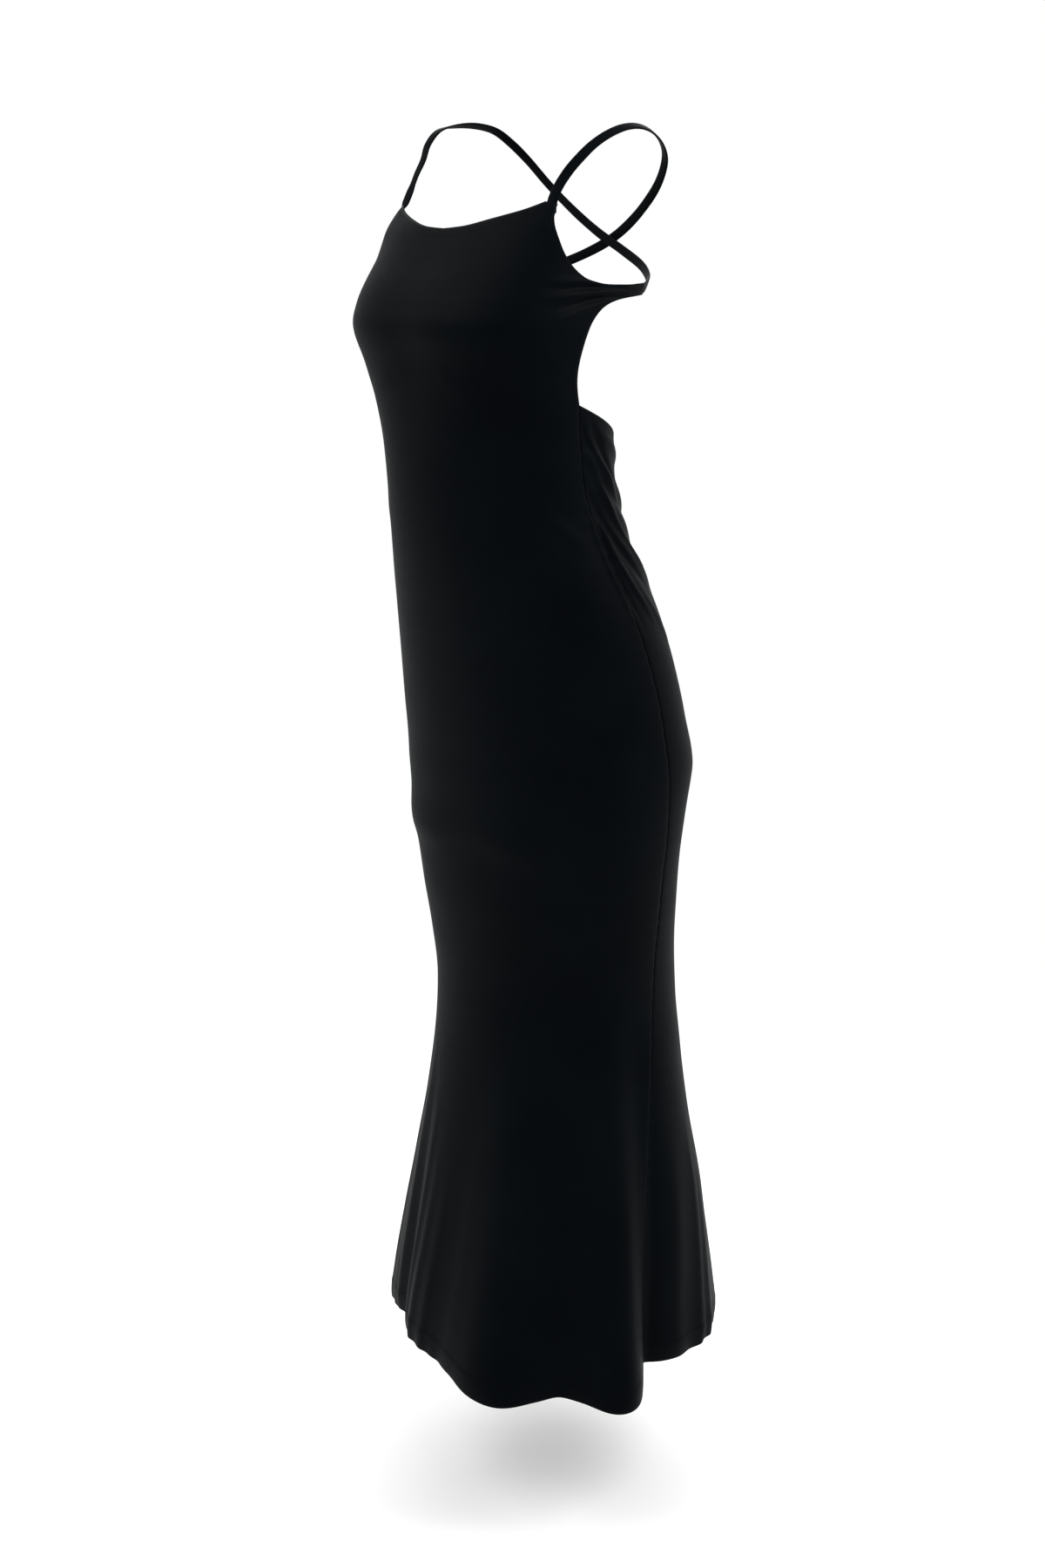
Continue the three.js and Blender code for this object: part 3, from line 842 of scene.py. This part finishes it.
def jersey_material():
    """Black stretch jersey with a fine knit face, soft sheen and stitched edges."""
    look = settings()
    nodes = Nodes("black_jersey")
    place = nodes.add("ShaderNodeTexCoord").outputs["Object"]
    cloudy = nodes.noise(place, 9.0, 4.0, 0.55)
    fibre = nodes.noise(place, 900.0, 2.0, 0.6)
    blend = nodes.add("ShaderNodeMix", {
        "Factor": nodes.ramp(cloudy, 0.35, 0.65, 0.0, 1.0),
        "A": (*look.jersey_dark, 1.0),
        "B": (*look.jersey_light, 1.0),
    }, data_type="RGBA")
    smoothness = nodes.ramp(cloudy, 0.3, 0.7, 0.42, 0.5)
    knit = knit_height(nodes, look.wale, look.course)
    knit_bump = nodes.add("ShaderNodeBump", {
        "Strength": 0.35,
        "Distance": 0.08 * MM,
        "Height": nodes.math("ADD", knit, nodes.math("MULTIPLY", fibre, KNIT["fibre"])),
    })
    hem_rows = [HEM_SEWING["stitched"] + row * ROW_PITCH for row in range(HEM_SEWING["rows"])]
    hem_grooves = groove(nodes, "hem_gap", hem_rows, 1.3)
    edge_groove = groove(nodes, "edge_gap", [EDGE_SEWING["stitched"]], 1.2)
    groove_bump = nodes.add("ShaderNodeBump", {
        "Strength": 0.5,
        "Distance": 0.12 * MM,
        "Height": nodes.math("ADD", hem_grooves, edge_groove),
        "Normal": knit_bump.outputs[0],
    }, invert=True)
    return nodes.finish(nodes.add("ShaderNodeBsdfPrincipled", {
        "Base Color": blend.outputs["Result"],
        "Roughness": nodes.math("ADD", smoothness, nodes.math("MULTIPLY", fibre, 0.08)),
        "Specular IOR Level": look.gloss,
        "Sheen Weight": look.sheen,
        "Sheen Roughness": 0.4,
        "Sheen Tint": (0.92, 0.93, 1.0, 1.0),
        "Normal": groove_bump.outputs[0],
    }))


def thread_material():
    """Black sewing thread, a little glossier than the cloth."""
    nodes = Nodes("black_thread")
    place = nodes.add("ShaderNodeTexCoord").outputs["Object"]
    twist = nodes.noise(place, 2200.0, 1.0)
    twist_bump = nodes.add("ShaderNodeBump", {"Distance": 0.05 * MM, "Height": twist})
    return nodes.finish(nodes.add("ShaderNodeBsdfPrincipled", {
        "Base Color": (*settings().thread, 1.0),
        "Roughness": nodes.ramp(twist, 0.3, 0.7, 0.38, 0.55),
        "Specular IOR Level": 0.03,
        "Normal": twist_bump.outputs[0],
    }))


def shared_material(name, make):
    return bpy.data.materials.get(name) or make()


def thicken(piece, thickness):
    solid = piece.modifiers.new("cloth", "SOLIDIFY")
    solid.thickness = thickness
    solid.offset = -1.0
    solid.use_quality_normals = True


def finish_piece(piece, replaced=None, sewn_to=None):
    """Ties a piece to the frame, as a node's own form or as something sewn to it."""
    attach(piece, BODY)
    if replaced:
        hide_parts(replaced)
    if sewn_to:
        piece["sewn_to"] = sewn_to


def free_edge_points(kinds):
    return np.concatenate([face(*edge_line(kind)) for kind in kinds])


def build_panel(name, columns, rows, places, hem, edges):
    """One panel as a fine shell on its solid's form, with its map and stitched edges."""
    def place(column, row):
        angle, z, seam_z = places(column, row)
        return face(angle, z, lift=sewing_relief(angle, z, seam_z))

    bm, i, j, points = mapped_grid(columns, rows, place)
    lay_weave(bm, i, j, points, columns, rows, columns // 2)
    write_distance(bm, "hem_gap", nearest(points, free_edge_points([hem])))
    write_distance(bm, "edge_gap", nearest(points, free_edge_points(edges)))
    piece = new_object(name + "_cloth", bm, shared_material("black_jersey", jersey_material))
    thicken(piece, settings().thickness)
    finish_piece(piece, name)


def build_strip(name, net, outward, thickness, sewn_to):
    """A strip of cloth through a net of points, its face turned to the outward side."""
    across = np.cross(net[0, 1:] - net[0, :-1], net[1, :-1] - net[0, :-1])
    if np.sum(across * outward[:-1]) < 0:
        net = net[:, ::-1]
    rows, columns = net.shape[0] - 1, net.shape[1] - 1
    bm, i, j, points = mapped_grid(
        columns, rows,
        lambda c, r: net[np.rint(r * rows).astype(int), np.rint(c * columns).astype(int)],
    )
    lay_weave(bm, i, j, points, columns, rows, columns // 2)
    piece = new_object(name, bm, shared_material("black_jersey", jersey_material))
    thicken(piece, thickness)
    finish_piece(piece, sewn_to=sewn_to)


def build_turning(kind):
    """The cloth beyond an edge, rolled round it and laid along the inside."""
    count = TURNING["stations"]
    thickness = settings().thickness
    radius = thickness + TURNING["clearance"] * MM
    edge, normal = inward_cloth(kind, 0.0, count)
    inward = unit(inward_cloth(kind, TURNING["aim"], count)[0] - edge)
    rows = []
    for degrees in TURNING_ROLL:
        phi = math.radians(degrees)
        out, up = radius * math.cos(phi), radius * (math.sin(phi) - 1)
        rows.append(edge - inward * out + normal * up)
    for share in TURNING_ROWS:
        points, turned = inward_cloth(kind, EDGES[kind]["depth"] * share, count)
        rows.append(points - turned * 2 * radius)
    thin = thickness - TURNING["thinner"] * MM
    build_strip(kind + "_turning", np.array(rows), normal, thin, EDGES[kind]["panel"])


def build_seam_allowance(name, side):
    """The seam's two layers inside the dress, laid towards the back."""
    seam_z = np.linspace(ALLOWANCE["top"], ALLOWANCE["bottom"], ALLOWANCE["stations"])
    seam_angle = read(SEAM, "angle", seam_z)
    rows = []
    for gap in ALLOWANCE_ROWS:
        angle = side * (seam_angle + gap / seam_mm_per_degree(seam_z))
        z = skirt_height(angle, seam_z) - back_drop(angle, seam_z)
        lift = sewing_relief(angle, z, seam_z)
        inside = ALLOWANCE["deep"] if gap < ALLOWANCE["by_seam"] else ALLOWANCE["shallow"]
        depth = settings().thickness + inside * MM
        rows.append(face(angle, z, lift=lift) - face_normal(angle, z) * depth)
    inward = -face_normal(side * seam_angle, seam_z)
    build_strip(name, np.array(rows), inward, ALLOWANCE["thickness"] * MM, "back_panel")


def stitch_rods(bm, points, normals):
    """Short rods of thread along a line of the cloth's face."""
    length, pitch = settings().stitch_length, settings().stitch_pitch
    along = lengths_along(points)
    radius = THREAD["radius"] * MM
    for start in np.arange(pitch / 2, along[-1] - length, pitch):
        first, last = places_along(points, along, (start, start + length))
        outward = unit(np.sum(places_along(normals, along, (start, start + length)), axis=0))
        run = Vector(last - first)
        centre = Vector((first + last) / 2 + outward * THREAD["lift"] * MM)
        turned = run.to_track_quat("Z", "Y").to_matrix().to_4x4()
        bmesh.ops.create_cone(
            bm, cap_ends=True, segments=THREAD["sides"], radius1=radius, radius2=radius,
            depth=run.length, matrix=Matrix.Translation(centre) @ turned,
        )


def build_stitching(kind):
    bm = bmesh.new()
    for row in range(EDGES[kind]["rows"]):
        stitch_rods(bm, *inward_cloth(kind, EDGES[kind]["stitched"] + row * ROW_PITCH))
    piece = new_object(kind + "_stitches", bm, shared_material("black_thread", thread_material))
    finish_piece(piece, sewn_to=EDGES[kind]["panel"])


def strap_ends(side):
    """Where a strap is sewn in, as its points and the panel's normal at each end."""
    (seat_angle, seat_z), (tip_angle, tip_z) = SEAT, WING_TIP
    inside = settings().thickness + settings().strap_thickness / 2
    seat, tip = [], []
    for gap in (STRAP_END["sewn"], 0.0):
        z = seat_z - gap
        seat.append(face(side * seat_angle, z) - face_normal(side * seat_angle, z) * inside)
        angle = -side * (tip_angle - gap / MM_PER_DEGREE)
        tip.append(face(angle, tip_z) - face_normal(angle, tip_z) * inside)
    normals = face_normal(side * seat_angle, seat_z), face_normal(-side * tip_angle, tip_z)
    return seat, tip[::-1], normals


def smooth_path(points, count):
    """Evenly spaced places and directions along a centripetal curve through points."""
    p = np.array(points)
    p = np.vstack((2 * p[0] - p[1], p, 2 * p[-1] - p[-2]))
    w = np.linspace(0, 1, STRAP_GRID["curve_steps"], endpoint=False)[:, None]
    parts = []
    for a, b, c, d in zip(p, p[1:], p[2:], p[3:]):
        s0, s1, s2 = (np.linalg.norm(step) ** 0.5 for step in (b - a, c - b, d - c))
        v0 = ((b - a) / s0 - (c - a) / (s0 + s1) + (c - b) / s1) * s1
        v1 = ((c - b) / s1 - (d - b) / (s1 + s2) + (d - c) / s2) * s1
        parts.append(cubic(w, b, c, v0, v1))
    fine = np.vstack((*parts, p[-2:-1]))
    along = lengths_along(fine)
    s = np.linspace(0, along[-1], count)
    places = places_along(fine, along, s)
    return places, unit(np.gradient(places, axis=0)), s


def strap_line(side, count):
    """Places along a strap with the directions of its length, width and face, and how
    far each place is from the seat."""
    seat, tip, (seat_normal, tip_normal) = strap_ends(side)
    right = side < 0
    path = [
        np.array((side * x, y - right * forward, z + right * up)) * MM
        for x, y, z, forward, up in STRAP_PATH
    ]
    for station, ease in zip(path, STRAP_EASE["right" if right else "left"]):
        station[:2] += np.array(STRAP_WAY) * ease * MM
    places, along, s = smooth_path([*seat, *path, *tip], count)

    flattened = places * (1 - FIGURE_AXIS["x_share"], 1, 1)
    normal = unit(flattened - np.array((0, FIGURE_AXIS["y"], FIGURE_AXIS["z"])) * MM)
    sewn, reach = STRAP_END["sewn"] * MM, STRAP_END["turn"] * MM
    near_seat = (1 - smooth_step((s - sewn) / reach))[:, None]
    near_tip = (1 - smooth_step((s[-1] - sewn - s) / reach))[:, None]
    normal = normal * (1 - near_seat - near_tip)
    normal = normal + near_seat * seat_normal + near_tip * tip_normal
    normal = unit(normal - along * np.sum(normal * along, axis=1)[:, None])
    across = np.cross(along, normal)
    if right:
        turned = np.radians(read(STRAP_TWIST, "degrees", s / MM))[:, None]
        normal, across = (
            normal * np.cos(turned) + across * np.sin(turned),
            across * np.cos(turned) - normal * np.sin(turned),
        )
    else:
        lift = CROSSING_LIFT * MM * bump(places[:, 0] / MM, CROSSING_REACH)
        places[:, 1] += np.where(places[:, 1] > 0, lift, 0)
    return places, across, normal, s


def build_strap(name, side):
    """A narrow turned strap from its seat over the shoulder to the other side's wing."""
    rows, columns = STRAP_GRID["rows"], STRAP_GRID["columns"]
    places, across, normal, s = strap_line(side, rows + 1)
    wave = 1 + sum(out * np.sin(s / (length * MM)) for out, length in STRAP_WAVES)
    seat_bump = bump(s - STRAP_END["thick_at"] * MM, STRAP_END["thick_reach"] * MM)
    half_width = settings().strap_width / 2 * wave
    half_thickness = settings().strap_thickness / 2 * (1 + STRAP_END["thicker"] * seat_bump)

    def place(column, row):
        i = np.rint(row * rows).astype(int)
        c, d = np.cos(column * 2 * math.pi), np.sin(column * 2 * math.pi)
        wide = np.sign(c) * np.abs(c) ** STRAP_ROUNDING["wide"] * half_width[i]
        deep = np.sign(d) * np.abs(d) ** STRAP_ROUNDING["deep"] * half_thickness[i]
        return places[i] + across[i] * wide[:, None] + normal[i] * deep[:, None]

    bm, i, j, points = mapped_grid(columns, rows, place)
    lay_weave(bm, i, j, points, columns, rows, 0)
    bmesh.ops.remove_doubles(bm, verts=bm.verts, dist=0.01 * MM)
    bmesh.ops.holes_fill(bm, edges=bm.edges, sides=0)
    bmesh.ops.recalc_face_normals(bm, faces=bm.faces)
    piece = new_object(name + "_cloth", bm, shared_material("black_jersey", jersey_material))
    finish_piece(piece, name)


def build_strap_tacks(name, side):
    """Short rows of stitches that hold a strap's two ends."""
    bm = bmesh.new()
    (seat_angle, seat_z), (tip_angle, tip_z) = SEAT, WING_TIP
    reach = np.linspace(-TACKS["reach"], TACKS["reach"], TACKS["points"])
    for gap in TACKS["rows"]:
        at_seat = side * (seat_angle + reach / MM_PER_DEGREE), np.full_like(reach, seat_z - gap)
        tip_row = np.full_like(reach, -side * (tip_angle - gap / MM_PER_DEGREE))
        at_tip = tip_row, tip_z + reach * TACKS["tip_share"]
        for line in (at_seat, at_tip):
            stitch_rods(bm, face(*line), face_normal(*line))
    piece = new_object(name, bm, shared_material("black_thread", thread_material))
    finish_piece(piece, sewn_to="front_panel")


def floor_material():
    """Pale floor that turns into the white surroundings further out."""
    nodes = Nodes("pale_floor")
    place = nodes.add("ShaderNodeTexCoord").outputs["Object"]
    away = nodes.add("ShaderNodeVectorMath", {0: place}, operation="LENGTH").outputs["Value"]
    share = nodes.ramp(
        away, FLOOR["pale_to"], FLOOR["white_from"], 0.0, 1.0, interpolation_type="SMOOTHSTEP",
    )
    near = nodes.add("ShaderNodeBsdfDiffuse", {"Color": (0.9, 0.9, 0.9, 1.0)})
    far = nodes.add("ShaderNodeEmission", {"Color": (1.0, 1.0, 1.0, 1.0)})
    shaders = {0: share, 1: near.outputs[0], 2: far.outputs[0]}
    return nodes.finish(nodes.add("ShaderNodeMixShader", shaders))


def build_floor():
    bm = bmesh.new()
    bmesh.ops.create_circle(
        bm, cap_ends=True, radius=FLOOR["radius"], segments=FLOOR["sides"],
    )
    floor = new_object("pale_floor", bm, floor_material())
    floor.location.z = HEM * MM - FLOOR["below_hem"]


def build_lights():
    scene = bpy.context.scene
    scene.world = bpy.data.worlds.new("white_surroundings")
    scene.world.use_nodes = True
    background = scene.world.node_tree.nodes["Background"]
    background.inputs["Color"].default_value = (1.0, 1.0, 1.0, 1.0)
    background.inputs["Strength"].default_value = 1.0
    middle = Vector((0, 0, HEM * MM / 2))
    for name, (azimuth, elevation, distance, size, power) in SOFT_LIGHTS.items():
        data = bpy.data.lights.new(name, "AREA")
        data.shape = "DISK"
        data.size = size
        data.energy = power
        light = bpy.data.objects.new(name, data)
        scene.collection.objects.link(light)
        a, e = math.radians(azimuth), math.radians(elevation)
        way = Vector((math.sin(a) * math.cos(e), -math.cos(a) * math.cos(e), math.sin(e)))
        light.location = middle + way * distance
        light.rotation_euler = way.to_track_quat("Z", "Y").to_euler()
        light.visible_camera = False


def build_camera():
    scene = bpy.context.scene
    scene.view_settings.view_transform = "Standard"
    data = bpy.data.cameras.new("camera")
    data.sensor_width = PHOTO["sensor"]
    data.lens = PHOTO["lens"]
    data.clip_end = 50
    camera = bpy.data.objects.new("camera", data)
    scene.collection.objects.link(camera)
    a = math.radians(PHOTO["azimuth"])
    away = PHOTO["distance"]
    camera.location = (away * math.sin(a), -away * math.cos(a), PHOTO["height"])
    pitch = math.radians(90 - PHOTO["pitch"])
    camera.rotation_euler = (pitch, 0, math.radians(PHOTO["azimuth"] + PHOTO["aim_left"]))
    scene.camera = camera


def length_setting(name, description, default, least, most=50.0):
    """A length for the settings, given in millimetres."""
    return FloatProperty(
        name=name, description=description, default=default * MM, min=least * MM,
        max=most * MM, precision=5, subtype="DISTANCE", unit="LENGTH",
    )


def share_setting(name, description, default):
    return FloatProperty(
        name=name, description=description, default=default, min=0.0, max=1.0, subtype="FACTOR",
    )


def colour_setting(name, description, default):
    return FloatVectorProperty(
        name=name, description=description, default=default, min=0.0, max=1.0, size=3,
        subtype="COLOR",
    )


class DressSettings(bpy.types.PropertyGroup):
    """Sizes and colours of the dress that a user would change."""

    thickness: length_setting("Thickness", "Thickness of one layer of jersey", 0.7, 0.3, 2.0)
    wale: length_setting("Wale", "Width of one column of knit stitches", 1.0, 0.3)
    course: length_setting("Course", "Height of one row of knit stitches", 0.8, 0.3)
    gloss: share_setting("Gloss", "How strongly the jersey's fibres reflect", 0.018)
    sheen: share_setting("Sheen", "How much the jersey's nap lights up at its edges", 0.006)
    jersey_dark: colour_setting(
        "Jersey, dark", "Darker tone of the jersey", (0.0006, 0.0012, 0.0019),
    )
    jersey_light: colour_setting(
        "Jersey, light", "Lighter tone of the jersey", (0.0012, 0.0020, 0.0028),
    )
    thread: colour_setting("Thread", "Colour of the sewing thread", (0.0015, 0.002, 0.0028))
    stitch_length: length_setting("Stitch", "Length of one stitch that shows", 2.4, 0.5)
    stitch_pitch: length_setting("Stitch pitch", "From one stitch to the next", 3.2, 1.0)
    strap_width: length_setting("Strap width", "Width of a strap", 10.0, 2.0)
    strap_thickness: length_setting("Strap thickness", "Thickness of a strap", 2.2, 0.5)
    grain: IntProperty(
        name="Grid step", description="Fine columns and rows for each coarse one of the bodice",
        default=4, min=1, max=5,
    )


class DRESS_OT_front_panel(bpy.types.Operator):
    """Makes the front panel, from the neckline to the hem with both wings"""

    bl_idname = "dress.front_panel"
    bl_label = "Front panel"

    def execute(self, context):
        step = settings().grain
        bodice_rows = BODICE_ROWS * (step + BODICE_EXTRA_STEPS)
        rows = bodice_rows + SKIRT_ROWS * step
        share = bodice_rows / rows
        edges = [kind for kind in EDGES if kind.startswith(("neck", "armhole", "open"))]
        build_panel(
            "front_panel", 2 * HALF_COLUMNS * step, rows,
            lambda column, row: front_places(2 * column - 1, row, share), "front_hem", edges,
        )
        return {"FINISHED"}


class DRESS_OT_back_panel(bpy.types.Operator):
    """Makes the back panel, with its dipped top edge and the drapes under it"""

    bl_idname = "dress.back_panel"
    bl_label = "Back panel"

    def execute(self, context):
        step = settings().grain
        columns, rows = BACK_COLUMNS * step, BACK_ROWS * step
        build_panel("back_panel", columns, rows, back_places, "back_hem", ["back_top"])
        return {"FINISHED"}


class DRESS_OT_straps(bpy.types.Operator):
    """Makes the two narrow turned straps that cross at the back"""

    bl_idname = "dress.straps"
    bl_label = "Straps"

    def execute(self, context):
        for which, side in SIDES:
            build_strap("strap_" + which, side)
        return {"FINISHED"}


class DRESS_OT_turned_edges(bpy.types.Operator):
    """Turns the hems and the other free edges to the inside"""

    bl_idname = "dress.turned_edges"
    bl_label = "Turned edges"

    def execute(self, context):
        for kind in EDGES:
            build_turning(kind)
        for which, side in SIDES:
            build_seam_allowance("seam_allowance_" + which, side)
        return {"FINISHED"}


class DRESS_OT_stitching(bpy.types.Operator):
    """Sews the rows of stitches that hold the turned edges"""

    bl_idname = "dress.stitching"
    bl_label = "Stitching"

    def execute(self, context):
        for kind in EDGES:
            build_stitching(kind)
        for which, side in SIDES:
            build_strap_tacks("strap_tacks_" + which, side)
        return {"FINISHED"}


class DRESS_OT_stage(bpy.types.Operator):
    """Sets out the pale floor, the soft lights and the camera"""

    bl_idname = "dress.stage"
    bl_label = "Stage"

    def execute(self, context):
        build_floor()
        build_lights()
        build_camera()
        return {"FINISHED"}


class DRESS_PT_panel(bpy.types.Panel):
    """Sidebar panel with the dress's settings and its operators"""

    bl_label = "Maxi slip dress"
    bl_idname = "DRESS_PT_panel"
    bl_space_type = "VIEW_3D"
    bl_region_type = "UI"
    bl_category = "Dress"

    def draw(self, context):
        for name in DressSettings.__annotations__:
            self.layout.prop(context.scene.dress_settings, name)
        for operator in OPERATORS:
            self.layout.operator(operator.bl_idname)


OPERATORS = (
    DRESS_OT_front_panel,
    DRESS_OT_back_panel,
    DRESS_OT_straps,
    DRESS_OT_turned_edges,
    DRESS_OT_stitching,
    DRESS_OT_stage,
)
CLASSES = (DressSettings, *OPERATORS, DRESS_PT_panel)


def register():
    for item in CLASSES:
        bpy.utils.register_class(item)
    bpy.types.Scene.dress_settings = PointerProperty(type=DressSettings)


def unregister():
    del bpy.types.Scene.dress_settings
    for item in reversed(CLASSES):
        bpy.utils.unregister_class(item)


def main():
    register()
    bpy.ops.dress.front_panel()
    bpy.ops.dress.back_panel()
    bpy.ops.dress.straps()
    bpy.ops.dress.turned_edges()
    bpy.ops.dress.stitching()
    bpy.ops.dress.stage()


if __name__ == "__main__":
    main()
